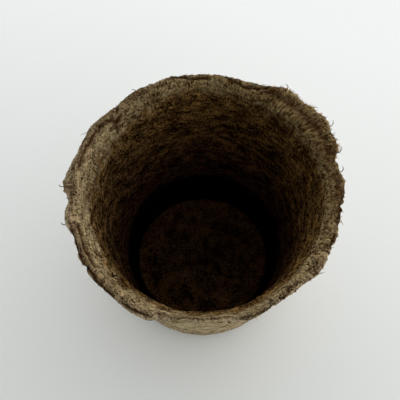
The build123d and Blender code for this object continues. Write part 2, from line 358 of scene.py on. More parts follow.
# The edge, the crease, the bulge and the crest wander round the pot
for vert in felt.verts:
    radius, height, edge_part, crease_part, bulge_part, crest_part, relief, run = rows[vert[row_layer]]
    vert[run_layer] = run
    turn = column_of(vert) * 2 * pi / columns
    azimuth = turn * 180 / pi
    if edge_part > 0:
        radius += edge_part * (around(edge_reach, azimuth) - nominal_edge)
    if edge_part > 0.6:
        radius += edge_part * tatter(turn)
    if crease_part > 0:
        radius += crease_part * (around(crease_reach, azimuth) - nominal_crease)
    if bulge_part > 0:
        radius += bulge_part * bulge_reach * max(cos(turn - radians(bulge_azimuth)), 0) ** bulge_falloff
    if crest_part > 0:
        height += crest_part * around(crest_rise, azimuth)
    vert.co = (radius * cos(turn), radius * sin(turn), height)


def ridged(place):
    """Noise that peaks along sharp winding lines, from 0 to 1."""
    return 1 - abs(noise.noise(place)) * 2


# Radius at which the patterns that run round the pot are laid out
pattern_radius = 40


def felt_relief(place, turn, run):
    """How far the felt stands out at a place, in mm, and painted shade in its flake hollows, highlight on
    crests.
    """
    inside = min(max((run - 5.0) / 4.0, 0.0), 1.0) * (run < 47.0)
    wavy_run = run + 2.2 * noise.noise(place / 6)
    laid = Vector((cos(turn) * pattern_radius, sin(turn) * pattern_radius, wavy_run))
    lumps = 0.28 * noise.noise(place / 8)
    flake = ridged(Vector((laid.x / 8.5, laid.y / 8.5, laid.z / (1.5 + 0.7 * inside)))) - 0.7
    flakes = (0.12 + 0.33 * inside) * flake
    ribs = 0.04 * (1 - inside) * noise.noise(Vector((laid.x / 1.1, laid.y / 1.1, laid.z / 4.0)))
    dimples = 0.16 * noise.noise(place / 2.4)
    grain = 0.13 * noise.noise(place / 1.05)
    return lumps + flakes + ribs + dimples + grain, -0.65 * inside * flake


def nearest_gap(azimuth, radius, points):
    """Distance in millimetres from a place on the lip to a line of azimuths and radii."""
    nearest = inf
    for (start_azimuth, start_radius), (end_azimuth, end_radius) in zip(points, points[1:]):
        ahead = radians(end_azimuth - start_azimuth) * radius
        rise = end_radius - start_radius
        along = radians(azimuth - start_azimuth) * radius
        across = radius - start_radius
        share = (along * ahead + across * rise) / (ahead * ahead + rise * rise)
        share = min(max(share, 0.0), 1.0)
        nearest = min(nearest, hypot(along - share * ahead, across - share * rise))
    return nearest


def lip_marks(azimuth, radius, place):
    """Depth of the folds and pits at a place on the lip, and its painted shade in them, with its darker and
    paler patches.
    """
    depth = 0.0
    shade = 0.0
    wobble = 0.2 * noise.noise(place / 1.3)
    for points, deepest, half_width, darkness in lip_folds:
        if points[0][0] - 3 < azimuth < points[-1][0] + 3:
            gap = nearest_gap(azimuth, radius + wobble, points) / max(half_width, least_half_width)
            depth += deepest * exp(-gap * gap)
            shade = max(shade, min(fold_painted_shade * darkness * exp(-gap * gap), 1.0))
    for pit_azimuth, pit_radius, half_width in lip_pits:
        if abs(azimuth - pit_azimuth) < 3:
            gap = hypot(radians(azimuth - pit_azimuth) * radius, radius - pit_radius) / half_width
            depth += pit_depth * exp(-gap * gap)
            shade = max(shade, exp(-gap * gap))
    for patch_azimuth, patch_radius, half_length, half_width, darkness in lip_patches:
        offset = (azimuth - patch_azimuth + 180) % 360 - 180
        if abs(offset) < 30:
            gap = hypot(radians(offset) * radius / half_length, (radius - patch_radius) / half_width)
            gap *= 1 + 0.45 * noise.noise(place / 2.2)
            shade += darkness * exp(-gap * gap) * (1 - max(shade, 0))
    return depth, shade


def ring_marks(place, turn):
    """How far the former's rings stand in at a place inside the wall, with painted highlight atop and shade
    below.
    """
    swerve = 1.4 * noise.noise(Vector((cos(turn) * 2.2, sin(turn) * 2.2, 3.0)))
    swerve += 0.7 * noise.noise(place / 5)
    stand = 0.0
    shade = 0.0
    for height, reach, half_width in former_rings:
        gap = (place.z - height - swerve) / half_width
        if abs(gap) < 4:
            strength = 0.55 + 0.9 * noise.noise(Vector((cos(turn) * 5, sin(turn) * 5, height)))
            strength = min(max(strength, 0.0), 1.0)
            stand += reach * strength * exp(-gap * gap)
            # Painted highlight on the top of each ring and painted shade below it
            shade -= 0.7 * reach * strength * exp(-((gap - 0.3) ** 2) * 2)
            shade += 0.9 * reach * strength * exp(-((gap + 1.3) ** 2))
    return stand, shade


# The normals come from a mesh of the sorted felt, where they are the same to the last digit at every run
sorted_mesh = bpy.data.meshes.new("sorted_felt")
felt.to_mesh(sorted_mesh)
normals = [normal.vector.copy() for normal in sorted_mesh.vertex_normals]
bpy.data.meshes.remove(sorted_mesh)

shade_layer = felt.verts.layers.float.new("shade")
moves = []
for vert in felt.verts:
    relief = rows[vert[row_layer]][6]
    run = vert[run_layer]
    turn = atan2(vert.co.y, vert.co.x)
    radius = hypot(vert.co.x, vert.co.y)
    bump_height, flake_painted_shade = felt_relief(vert.co, turn, run)
    push = relief * bump_height
    # Painted shade in the hollows between flakes, and painted highlight on their crests
    vert[shade_layer] = flake_painted_shade
    # Painted shade in the lip's folds and pits, with its darker and paler patches
    if lip_run[0] < run < lip_run[1]:
        depth, darkness = lip_marks(azimuth_of(vert.co), radius, vert.co)
        push -= depth * relief
        vert[shade_layer] += darkness
    if ring_run[0] < run < ring_run[1]:
        stand, darkness = ring_marks(vert.co, turn)
        push += stand * relief
        vert[shade_layer] += darkness
    if vert.co.z > 4.0 and radius < disc_radius and run > 0:
        for dent_x, dent_y, dent_depth, half_width in disc_dents:
            gap = hypot(vert.co.x - dent_x, vert.co.y - dent_y) / half_width
            if gap < 3:
                gap *= 1 + 0.6 * noise.noise(vert.co / 1.4)
                push -= dent_depth * exp(-gap * gap)
                # Painted shade in the dent
                vert[shade_layer] += exp(-gap * gap)
    moves.append(normals[vert.index] * push)
for vert, move in zip(felt.verts, moves):
    vert.co += move
    vert.co.z = max(vert.co.z, 0.0)
felt.normal_update()

# The zone of each place for the finish: its run, with the pale face of the lip and the brown of the wall each
# drawn to the same width all round. Both end in a ragged line.
lip_zone = 9.0
brown_zone = 48.5
wall_zone = 62.0
zone_layer = felt.verts.layers.float.new("zone")
for vert in felt.verts:
    run = vert[run_layer]
    vert[zone_layer] = run
    if 0.0 < run < wall_zone:
        azimuth = azimuth_of(vert.co)
        ragged = 1 + 0.45 * noise.noise(vert.co / 3.2) + 0.30 * noise.noise(vert.co / 1.3)
        pale_end = around(pale_reach, azimuth) * ragged
        brown_end = around(brown_reach, azimuth) + 1.5 * noise.noise(vert.co / 3.0)
        if run < pale_end:
            vert[zone_layer] = run * lip_zone / pale_end
        elif run < brown_end:
            grown = (run - pale_end) * (brown_zone - lip_zone)
            vert[zone_layer] = lip_zone + grown / (brown_end - pale_end)
        else:
            grown = (run - brown_end) * (wall_zone - brown_zone)
            vert[zone_layer] = brown_zone + grown / (wall_zone - brown_end)
felt_surface = BVHTree.FromBMesh(felt)
felt_spots = [(vert.co.copy(), vert[zone_layer]) for vert in felt.verts]
felt.verts.layers.int.remove(row_layer)
bmesh.ops.scale(felt, vec=(mm, mm, mm), verts=felt.verts)


def finish_piece(name, mesh, material):
    """Object of a finished mesh that rides on the pot's one body."""
    piece = bpy.data.objects.new(name, mesh)
    bpy.context.scene.collection.objects.link(piece)
    mesh.materials.append(material)
    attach(piece, "root")
    return piece


def linear(hex_colour):
    """Linear colour of an sRGB hex value such as 8a7450."""
    channels = []
    for start in (0, 2, 4):
        tone = int(hex_colour[start:start + 2], 16) / 255
        channels.append(tone / 12.92 if tone <= 0.04045 else ((tone + 0.055) / 1.055) ** 2.4)
    return (*channels, 1.0)


def add_node(tree, kind, inputs=None, **settings):
    """Adds a node with its settings, and sets or links its inputs by name or number."""
    node = tree.nodes.new(kind)
    for name, value in settings.items():
        setattr(node, name, value)
    for key, value in (inputs or {}).items():
        if isinstance(value, bpy.types.NodeSocket):
            tree.links.new(value, node.inputs[key])
        else:
            node.inputs[key].default_value = value
    return node


def colour_ramp(tree, factor, stops, interpolation="LINEAR"):
    """Colour ramp whose stops are pairs of a place from 0 to 1 and a colour."""
    node = add_node(tree, "ShaderNodeValToRGB", {"Fac": factor})
    node.color_ramp.interpolation = interpolation
    elements = node.color_ramp.elements
    while len(elements) < len(stops):
        elements.new(1.0)
    for element, (place, colour) in zip(elements, stops):
        element.position = place
        element.color = colour
    return node


# Felted peat and wood fibre, formed wet and dried: dead matt, tan where light fibre lies on top and dark
# where peat crumbs show. The eye gets a zone tint, mottling, streaks of laid fibre, fine winding cracks,
# crumbs and a rough nap.
felt_material = bpy.data.materials.new("felted_peat_fibre")
felt_material.use_nodes = True
tree = felt_material.node_tree
shader = tree.nodes["Principled BSDF"]
object_place = add_node(tree, "ShaderNodeTexCoord").outputs["Object"]
felt_run = add_node(tree, "ShaderNodeAttribute", attribute_name="run").outputs["Fac"]
zone_run = add_node(tree, "ShaderNodeAttribute", attribute_name="zone").outputs["Fac"]

# Zone tint and contrast along the section, from the middle of the underside to the middle of the disc, by run
# in millimetres. Inside the pot the tint is darker than outside, and darker still down the wall and on the
# disc, as painted shade, and the ring round the disc is nearly black painted shade.
first_run = rows[0][7]
last_run = rows[-1][7]
zone_stops = (
    (-96.0, "6c5e4e", 0.9),
    (-64.0, "80725a", 0.9),
    (-58.0, "8a7f68", 0.8),
    (-12.0, "8a7f66", 0.8),
    (-4.0, "877b63", 1.0),
    (-1.0, "857963", 1.25),
    (1.3, "72634b", 1.45),
    (2.1, "74674e", 1.25),
    (7.0, "72664d", 1.35),
    (9.0, "61523b", 1.6),
    (10.4, "5a4629", 1.8),
    (16.0, "544024", 2.2),
    (30.0, "584027", 2.3),
    (46.0, "41281c", 2.2),
    (48.5, "1c100b", 1.6),
    (50.0, "060302", 1.2),
    (66.2, "060302", 1.2),
    (68.4, "49321e", 2.0),
    (92.0, "3c2a18", 2.0),
)
zone_share = add_node(
    tree,
    "ShaderNodeMapRange",
    {"Value": zone_run, "From Min": first_run, "From Max": last_run},
).outputs["Result"]
zone = colour_ramp(
    tree,
    zone_share,
    [((stop - first_run) / (last_run - first_run), linear(tint)) for stop, tint, _ in zone_stops],
).outputs["Color"]
strongest = 3.0
contrast_share = colour_ramp(
    tree,
    zone_share,
    [
        ((stop - first_run) / (last_run - first_run), (*[level / strongest] * 3, 1.0))
        for stop, _, level in zone_stops
    ],
).outputs["Color"]
contrast = add_node(
    tree, "ShaderNodeMath", {0: contrast_share, 1: strongest}, operation="MULTIPLY"
).outputs[0]

# Places for the patterns: on the wall and lip they are measured round the pot and along the section, so that
# fibre can lie either way, and on the disc they are plain
flat_place = add_node(
    tree, "ShaderNodeVectorMath", {0: object_place, 1: (1, 1, 0)}, operation="MULTIPLY"
).outputs["Vector"]
facing_out = add_node(tree, "ShaderNodeVectorMath", {0: flat_place}, operation="NORMALIZE").outputs["Vector"]
arc_place = add_node(
    tree, "ShaderNodeVectorMath", {0: facing_out, "Scale": pattern_radius * mm}, operation="SCALE"
).outputs["Vector"]
run_length = add_node(tree, "ShaderNodeMath", {0: felt_run, 1: mm}, operation="MULTIPLY").outputs[0]
run_place = add_node(tree, "ShaderNodeCombineXYZ", {"Z": run_length}).outputs["Vector"]
wall_place = add_node(
    tree, "ShaderNodeVectorMath", {0: arc_place, 1: run_place}, operation="ADD"
).outputs["Vector"]
disc_run = 63.0
on_disc = add_node(tree, "ShaderNodeMath", {0: felt_run, 1: disc_run}, operation="GREATER_THAN").outputs[0]
felt_place = add_node(
    tree, "ShaderNodeMix", {"Factor": on_disc, 4: wall_place, 5: object_place}, data_type="VECTOR"
).outputs[1]


def felt_noise(around_size, run_size, detail=2.0, distortion=0.0, shift=0.0):
    """Noise with grains of these sizes in millimetres, round the pot and along its section."""
    mapping = add_node(
        tree,
        "ShaderNodeMapping",
        {
            "Vector": felt_place,
            "Location": (shift, shift, shift),
            "Scale": (1 / (around_size * mm), 1 / (around_size * mm), 1 / (run_size * mm)),
        },
    )
    return add_node(
        tree,
        "ShaderNodeTexNoise",
        {"Vector": mapping.outputs["Vector"], "Scale": 1.0, "Detail": detail, "Distortion": distortion},
    ).outputs["Fac"]


def mix_colours(factor, under, over, blend_type="MIX"):
    """Mixes two colours by a factor."""
    node = add_node(tree, "ShaderNodeMix", data_type="RGBA", blend_type=blend_type)
    for socket, value in ((node.inputs["Factor"], factor), (node.inputs[6], under), (node.inputs[7], over)):
        if isinstance(value, bpy.types.NodeSocket):
            tree.links.new(value, socket)
        else:
            socket.default_value = value
    return node.outputs[2]


def between(value, low, high):
    """Value stretched so that low becomes 0 and high becomes 1."""
    return add_node(
        tree, "ShaderNodeMapRange", {"Value": value, "From Min": low, "From Max": high}
    ).outputs["Result"]


def winding_lines(value, width):
    """1 on the winding lines along which a noise passes its middle, falling to 0 at a width either side."""
    off_middle = add_node(tree, "ShaderNodeMath", {0: value, 1: 0.5}, operation="SUBTRACT").outputs[0]
    gap = add_node(tree, "ShaderNodeMath", {0: off_middle}, operation="ABSOLUTE").outputs[0]
    return between(gap, width, 0.0)


def add_swing(total, value, strength):
    """Adds to a total how far a noise swings from its middle, times a strength."""
    swung = add_node(
        tree, "ShaderNodeMath", {0: value, 1: strength, 2: -0.5 * strength}, operation="MULTIPLY_ADD"
    ).outputs[0]
    return add_node(tree, "ShaderNodeMath", {0: total, 1: swung}, operation="ADD").outputs[0]


# Laid fibre shows in bundles 0.5 to 1 mm wide and 4 to 8 mm long. Crumbs of peat are 0.4 to 1 mm across. The
# finest grain, which is really 0.1 to 0.3 mm, is drawn coarser, so that it shows at the photograph's size.
mottle = felt_noise(5.0, 3.6, detail=3.0)
patches = felt_noise(2.4, 1.8, shift=3.0)
laid_fibre = felt_noise(5.0, 1.15, distortion=0.5, shift=5.0)
upright_fibre = felt_noise(0.9, 3.0, distortion=0.4, shift=8.0)
grain = felt_noise(0.95, 1.3, detail=1.0, shift=11.0)
fine_grain = felt_noise(0.52, 0.60, detail=0.0, shift=19.0)
wall_mottle = felt_noise(7.0, 4.5, detail=2.0, shift=41.0)
off_disc = between(zone_run, 66.0, 60.0)
on_wall = add_node(
    tree, "ShaderNodeMath", {0: between(zone_run, 8.0, 12.0), 1: off_disc}, operation="MULTIPLY"
).outputs[0]
wall_swing = add_node(
    tree, "ShaderNodeMath", {0: add_swing(0.0, wall_mottle, 1.35), 1: on_wall}, operation="MULTIPLY"
).outputs[0]
brightness = add_swing(1.0, mottle, 0.8)
brightness = add_swing(brightness, patches, 0.5)
brightness = add_swing(brightness, fine_grain, 1.4)
brightness = add_node(tree, "ShaderNodeMath", {0: brightness, 1: wall_swing}, operation="ADD").outputs[0]
brightness = add_swing(brightness, laid_fibre, 1.4)
brightness = add_swing(brightness, upright_fibre, 0.30)
brightness = add_swing(brightness, grain, 1.0)
swing = add_node(tree, "ShaderNodeMath", {0: brightness, 1: -1.0}, operation="ADD").outputs[0]
brightness = add_node(
    tree, "ShaderNodeMath", {0: swing, 1: contrast, 2: 1.0}, operation="MULTIPLY_ADD"
).outputs[0]
brightness = add_node(tree, "ShaderNodeClamp", {"Value": brightness, "Min": 0.14, "Max": 2.6}).outputs[0]
# The right and the back of the pot are painted darker, as painted shade, most on the lip and least so down
# the wall
painted_shade_side = radians(42)
unshaded_facing = -0.3
shaded_facing = 0.9
facing = add_node(
    tree, "ShaderNodeVectorMath", {0: facing_out, 1: (cos(painted_shade_side), sin(painted_shade_side), 0.0)},
    operation="DOT_PRODUCT",
).outputs["Value"]
deepest_side_shade = add_node(
    tree, "ShaderNodeMapRange",
    {"Value": zone_run, "From Min": 8.0, "From Max": 12.0, "To Min": 0.66, "To Max": 0.86},
).outputs["Result"]
side_shade_factor = add_node(
    tree, "ShaderNodeMapRange",
    {"Value": facing, "From Min": unshaded_facing, "From Max": shaded_facing, "To Min": 1.0, "To Max": deepest_side_shade},
).outputs["Result"]
# Deep in the pot the wall is painted darker at the left and the right than at the near and the far side, by a
# fifth, as painted shade
side_size = add_node(tree, "ShaderNodeVectorMath", {0: facing_out}, operation="ABSOLUTE").outputs["Vector"]
side_reach = add_node(tree, "ShaderNodeSeparateXYZ", {"Vector": side_size}).outputs["X"]
deep_side = add_node(
    tree, "ShaderNodeMath", {0: between(side_reach, 0.45, 0.95), 1: between(zone_run, 17.0, 30.0)},
    operation="MULTIPLY",
).outputs[0]
deep_side_shade_factor = between(deep_side, 5.0, 0.0)
for share in (side_shade_factor, deep_side_shade_factor):
    brightness = add_node(tree, "ShaderNodeMath", {0: brightness, 1: share}, operation="MULTIPLY").outputs[0]
warmth = felt_noise(3.4, 2.2, shift=14.0)
red_zone = mix_colours(1.0, zone, linear("fff8f3"), "MULTIPLY")
olive_zone = mix_colours(1.0, zone, linear("fafcf5"), "MULTIPLY")
tinted = mix_colours(between(warmth, 0.40, 0.60), olive_zone, red_zone)
# On the same side the painted shade also turns the tint a little yellower
side_shade_share = between(facing, unshaded_facing, shaded_facing)
side_shade_tint = mix_colours(1.0, tinted, linear("fff9e3"), "MULTIPLY")
tinted = mix_colours(side_shade_share, tinted, side_shade_tint)
dark_fibre = mix_colours(1.0, tinted, linear("917757"), "MULTIPLY")
tinted = mix_colours(between(brightness, 0.20, 0.95), dark_fibre, tinted)
brightness = add_node(
    tree, "ShaderNodeMapRange",
    {"Value": brightness, "From Min": 0.2, "From Max": 2.6, "To Min": 0.45, "To Max": 2.6},
).outputs["Result"]
base = add_node(
    tree, "ShaderNodeVectorMath", {0: tinted, "Scale": brightness}, operation="SCALE"
).outputs["Vector"]
# Fine cracks wind over the lip and the wall, and longer ones over the wall. The outside has none.
smooth_outside = between(zone_run, -5.0, -2.0)
lip_lines = winding_lines(felt_noise(2.6, 1.3, detail=1.0, distortion=0.9, shift=31.0), 0.034)
for share in (0.62, off_disc, smooth_outside):
    lip_lines = add_node(tree, "ShaderNodeMath", {0: lip_lines, 1: share}, operation="MULTIPLY").outputs[0]
wall_lines = winding_lines(felt_noise(8.0, 2.2, detail=2.0, distortion=0.5, shift=37.0), 0.036)
wall_lines = add_node(tree, "ShaderNodeMath", {0: wall_lines, 1: on_wall}, operation="MULTIPLY").outputs[0]
base = mix_colours(lip_lines, base, linear("341f0d"))
base = mix_colours(wall_lines, base, linear("140805"))
# Crumbs of two sizes and pale bits of wood, which are fainter outside
speckle = add_node(
    tree, "ShaderNodeMapRange",
    {"Value": zone_run, "From Min": -8.0, "From Max": -1.0, "To Min": 0.25, "To Max": 0.48},
).outputs["Result"]
crumbs = felt_noise(1.1, 0.95, shift=17.0)
small_crumbs = felt_noise(0.62, 0.62, detail=0.0, shift=23.0)
pale_bits = felt_noise(1.6, 0.7, detail=0.0, shift=29.0)
pale_zone = add_node(
    tree, "ShaderNodeVectorMath", {0: zone, "Scale": 1.45}, operation="SCALE"
).outputs["Vector"]
for bits, low, high, bit_colour in (
    (crumbs, 0.65, 0.69, linear("2b190a")),
    (small_crumbs, 0.70, 0.74, linear("301c0b")),
    (pale_bits, 0.72, 0.80, pale_zone),
):
    bit_share = add_node(
        tree, "ShaderNodeMath", {0: between(bits, low, high), 1: speckle}, operation="MULTIPLY"
    ).outputs[0]
    base = mix_colours(bit_share, base, bit_colour)
# Painted shade darkens folds, pits, dents, the undersides of rings, hollows between flakes and the darker
# patches, and paler places have a shade below zero: painted highlight on ring tops and flake crests, and the
# paler patches
felt_shade = add_node(tree, "ShaderNodeAttribute", attribute_name="shade").outputs["Fac"]
painted_shade_colour = mix_colours(between(zone_run, 9.0, 16.0), linear("301c0d"), linear("0a0503"))
base = mix_colours(felt_shade, base, painted_shade_colour)
paler = add_node(tree, "ShaderNodeMath", {0: felt_shade, 1: -1.0}, operation="MULTIPLY").outputs[0]
base = mix_colours(paler, base, pale_zone)
tree.links.new(base, shader.inputs["Base Color"])
shader.inputs["Roughness"].default_value = 0.95
shader.inputs["IOR"].default_value = 1.45
shader.inputs["Specular IOR Level"].default_value = 0.0
nap = add_swing(0.0, grain, 1.0)
nap = add_swing(nap, laid_fibre, 0.9)
nap = add_swing(nap, upright_fibre, 0.25)
nap = add_swing(nap, crumbs, -0.6)
nap = add_swing(nap, wall_lines, -0.5)
nap = add_swing(nap, lip_lines, -0.5)
bump = add_node(
    tree, "ShaderNodeBump", {"Height": nap, "Strength": 0.9, "Distance": 0.6 * mm}
).outputs["Normal"]
tree.links.new(bump, shader.inputs["Normal"])

felt_mesh = bpy.data.meshes.new("moulded_felt")
felt.to_mesh(felt_mesh)
felt.free()
felt_mesh.shade_smooth()
shell = finish_piece("moulded_felt", felt_mesh, felt_material)
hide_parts("pot_shell")

# Loose fibre in the face of the felt
# Wood fibre and peat rootlets that lie matted on the felt, with an end that lifts here and there. They were
# in the slurry and dried in place. Real ones are 0.05 to 0.2 mm thick, and these are 0.06 to 0.2 mm.
draw = random.Random(11)


def lay_fibre(spot, heading, length, lift, wander, parts):
    """Points of a fibre that follows the felt from a spot and lifts off it towards its end."""
    points = []
    direction = heading.normalized()
    for part in range(parts + 1):
        share = part / parts
        near, normal, _, _ = felt_surface.find_nearest(spot)
        points.append(near + normal * (0.03 + lift * share * share))
        direction = direction - normal * direction.dot(normal)
        direction.rotate(Quaternion(normal, draw.gauss(0, wander)))
        direction.normalize()
        spot = near + direction * (length / parts)
    return points


def tubes(name, fibres):
    """Mesh of round tapered tubes, one along each list of points, with its radius in millimetres."""
    lines = bpy.data.curves.new(name, "CURVE")
    lines.dimensions = "3D"
    lines.bevel_depth = mm
    lines.bevel_resolution = 0
    lines.use_fill_caps = True
    for points, thickness in fibres:
        line = lines.splines.new("POLY")
        line.points.add(len(points) - 1)
        for index, (point, spot) in enumerate(zip(line.points, points)):
            point.co = (*(spot * mm), 1.0)
            taper = min(1.0, 2.2 * (1 - index / len(points)))
            point.radius = thickness / 2 * taper
    holder = bpy.data.objects.new(name, lines)
    bpy.context.scene.collection.objects.link(holder)
    bpy.context.view_layer.update()
    seen = holder.evaluated_get(bpy.context.evaluated_depsgraph_get())
    mesh = bpy.data.meshes.new_from_object(seen)
    mesh.name = name
    bpy.data.objects.remove(holder)
    bpy.data.curves.remove(lines)
    return mesh


def fibre_material(name, dark, pale):
    """Dry plant fibre, matt and opaque, each strand between two tones that change every 1.6 mm or so."""
    material = bpy.data.materials.new(name)
    material.use_nodes = True
    fibre_tree = material.node_tree
    fibre_shader = fibre_tree.nodes["Principled BSDF"]
    fibre_place = add_node(fibre_tree, "ShaderNodeTexCoord").outputs["Object"]
    tone = add_node(
        fibre_tree, "ShaderNodeTexNoise", {"Vector": fibre_place, "Scale": 1 / (1.6 * mm), "Detail": 1.0}
    ).outputs["Fac"]
    tint = colour_ramp(fibre_tree, tone, ((0.36, linear(dark)), (0.64, linear(pale)))).outputs["Color"]
    fibre_tree.links.new(tint, fibre_shader.inputs["Base Color"])
    fibre_shader.inputs["Roughness"].default_value = 0.9
    fibre_shader.inputs["Specular IOR Level"].default_value = 0.0
    return material


# Each patch of felt: first and last run, how many fibres, their length, thickness, lift, and their two tones.
# Inside the pot and on the disc the tones are darker, as painted shade, like the felt there.
raised_share = 0.35
fibre_patches = (
    ("lip_surface_fibres", -4.5, 9.0, 1100, (0.8, 2.4), (0.06, 0.14), 0.12, "2b1a0c", "7d6b4b"),
    ("inside_surface_fibres", 8.0, 48.0, 1300, (1.0, 3.2), (0.08, 0.20), 0.12, "120a05", "5b472b"),
    ("outside_surface_fibres", -62.0, -4.0, 2000, (1.2, 4.0), (0.06, 0.15), 0.12, "43341f", "86744f"),
    ("disc_surface_fibres", 68.0, 92.0, 220, (1.2, 3.5), (0.08, 0.18), 0.12, "100804", "3c2814"),
)
for name, first, last, count, lengths, thicknesses, lift, dark, pale in fibre_patches:
    spots = [spot for spot, run in felt_spots if first < run < last]
    fibres = []
    for _ in range(count):
        spot = draw.choice(spots)
        round_the_pot = Vector((-spot.y, spot.x, 0.0)).normalized() * draw.choice((-1, 1))
        slant = draw.gauss(0, 0.35)
        heading = round_the_pot + Vector((draw.gauss(0, 0.3), draw.gauss(0, 0.3), slant))
        raised = lift if draw.random() < raised_share else 0.04
        points = lay_fibre(
            spot, heading, draw.uniform(*lengths), raised * draw.uniform(0.5, 2.0), 0.35, 4
        )
        fibres.append((points, draw.uniform(*thicknesses)))
    strands = tubes(name, fibres)
    finish_piece(name, strands, fibre_material(name, dark, pale))

# Peat crumbs
# Dark crumbs of peat that dried half sunk in the face of the felt. Few stand out far. Most are 0.3 to 0.9 mm
# across, and the largest on the disc are 2 mm long.
# Each patch: first and last run, how many crumbs, and their smallest and largest half width.
crumb_patches = (
    (-4.0, 9.0, 420, 0.13, 0.30),
    (9.0, 46.0, 260, 0.18, 0.42),
    (-60.0, -4.0, 160, 0.12, 0.26),
    (69.0, 92.0, 120, 0.25, 0.65),
)
crumb_mesh = bmesh.new()
for first, last, count, smallest, largest in crumb_patches:
    spots = [spot for spot, run in felt_spots if first < run < last]
    for _ in range(count):
        spot = draw.choice(spots)
        near, normal, _, _ = felt_surface.find_nearest(spot)
        size = draw.uniform(smallest, largest)
        length = size * draw.uniform(0.9, 1.7)
        width = size * draw.uniform(0.6, 1.0)
        stretch = Matrix.Diagonal((length, width, size * 0.55, 1.0))
        spin = Matrix.Rotation(draw.uniform(0, 2 * pi), 4, "Z")
        upright = normal.to_track_quat("Z", "Y").to_matrix().to_4x4()
        placing = Matrix.Translation(near + normal * size * 0.12) @ upright @ spin @ stretch
        bmesh.ops.create_icosphere(crumb_mesh, subdivisions=1, radius=1.0, matrix=placing)
bmesh.ops.scale(crumb_mesh, vec=(mm, mm, mm), verts=crumb_mesh.verts)
crumb_data = bpy.data.meshes.new("peat_crumbs")
crumb_mesh.to_mesh(crumb_data)
crumb_mesh.free()
crumb_material = fibre_material("dark_peat_crumb", "0c0603", "2b1a0e")
finish_piece("peat_crumbs", crumb_data, crumb_material)

# Fuzz of the torn edge
# Ends of fibre that stand out of the lip's torn edge all round. They are longer, with a fringe of thicker
# strands, where the lip was torn widest, and few at the front. These azimuths bound the three.
frayed_side = (12, 62)
fringed_side = (12, 63)
smooth_front = (225, 305)


def bent_line(spot, direction, length, bend, shares):
    """Points at these shares of a strand that stands out from a spot and bends on its way."""
    return [spot + direction * length * share + bend * length * share * share for share in shares]


fuzz_spots = [spot for spot, run in felt_spots if -2.6 < run < 0.6]
fuzz = []
for _ in range(1000):
    spot = draw.choice(fuzz_spots)
    outward = Vector((spot.x, spot.y, 0.0)).normalized()
    sideways = Vector((-outward.y, outward.x, 0.0))
    direction = outward + sideways * draw.gauss(0, 0.7) + Vector((0, 0, draw.gauss(0.1, 0.35)))
    direction.normalize()
    azimuth = azimuth_of(spot)
    if smooth_front[0] < azimuth < smooth_front[1] and draw.random() < 0.75:
        continue
    frayed = 1.8 if frayed_side[0] < azimuth < frayed_side[1] else 1.0
    length = draw.uniform(0.15, 0.5) * frayed
    bend = Vector((draw.gauss(0, 0.5), draw.gauss(0, 0.5), draw.gauss(0, 0.4)))
    points = bent_line(spot, direction, length, bend, (-0.3, 0.2, 0.6, 1.0))
    fuzz.append((points, draw.uniform(0.05, 0.11)))
fringe_spots = [spot for spot in fuzz_spots if fringed_side[0] < azimuth_of(spot) < fringed_side[1]]
for _ in range(420):
    spot = draw.choice(fringe_spots)
    outward = Vector((spot.x, spot.y, 0.0)).normalized()
    sideways = Vector((-outward.y, outward.x, 0.0))
    direction = outward + sideways * draw.gauss(0.2, 0.5) + Vector((0, 0, draw.gauss(0.0, 0.2)))
    direction.normalize()
    length = draw.uniform(0.3, 1.1)
    bend = sideways * draw.gauss(0, 0.5) + Vector((0, 0, draw.gauss(-0.1, 0.2)))
    points = bent_line(spot, direction, length, bend, (-0.5, 0.1, 0.6, 1.0))
    fuzz.append((points, draw.uniform(0.07, 0.14)))
fuzz_material = fibre_material("frayed_wood_fibre", "553c22", "b0925f")
finish_piece("lip_fuzz", tubes("lip_fuzz", fuzz), fuzz_material)

# Curled rootlets
# Fine dark peat rootlets, dry and springy. They were caught in the lip by one end when the felt was pressed,
# and curl out of its edge.
rootlet_azimuths = (27, 15, 6, 38, 52, 181, 122, 199)
rootlet_stems = (0.7, 0.6, 0.5, 0.8, 0.9, 0.6, 0.8, 0.5)
rootlet_curl_radii = (2.2, 1.4, 1.0, 1.2, 1.0, 1.1, 1.2, 1.0)
rootlet_turn_angles = (75, 110, 130, -75, 130, -95, 80, -100)
rootlet_tilt_angles = (15, 25, 30, 10, 20, 25, -10, 15)
rootlet_diameter = 0.26
rootlet_parts = 10
root_height = 63.8
rootlets = []
for azimuth, stem, curl_radius, turn_angle, tilt in zip(
    rootlet_azimuths, rootlet_stems, rootlet_curl_radii, rootlet_turn_angles, rootlet_tilt_angles
):
    outward = Vector((cos(radians(azimuth)), sin(radians(azimuth)), 0.0))
    sideways = Vector((-outward.y, outward.x, 0.0))
    sideways.rotate(Quaternion(outward, radians(tilt)))
    root = outward * (around(edge_reach, azimuth) - 1.2)
    root.z = root_height + around(crest_rise, azimuth)
    points = [root, root + outward * (1.2 + stem)]
    heading = outward.copy()
    axis = outward.cross(sideways)
    for part in range(rootlet_parts):
        heading.rotate(Quaternion(axis, radians(turn_angle / rootlet_parts)))
        points.append(points[-1] + heading * (curl_radius * radians(abs(turn_angle)) / rootlet_parts))
    rootlets.append((points, rootlet_diameter))
rootlet_piece = finish_piece(
    "curled_peat_rootlets",
    tubes("curled_peat_rootlets", rootlets),
    fibre_material("dry_peat_rootlet", "2c1e12", "6a5338"),
)
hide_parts("curled_rootlets")

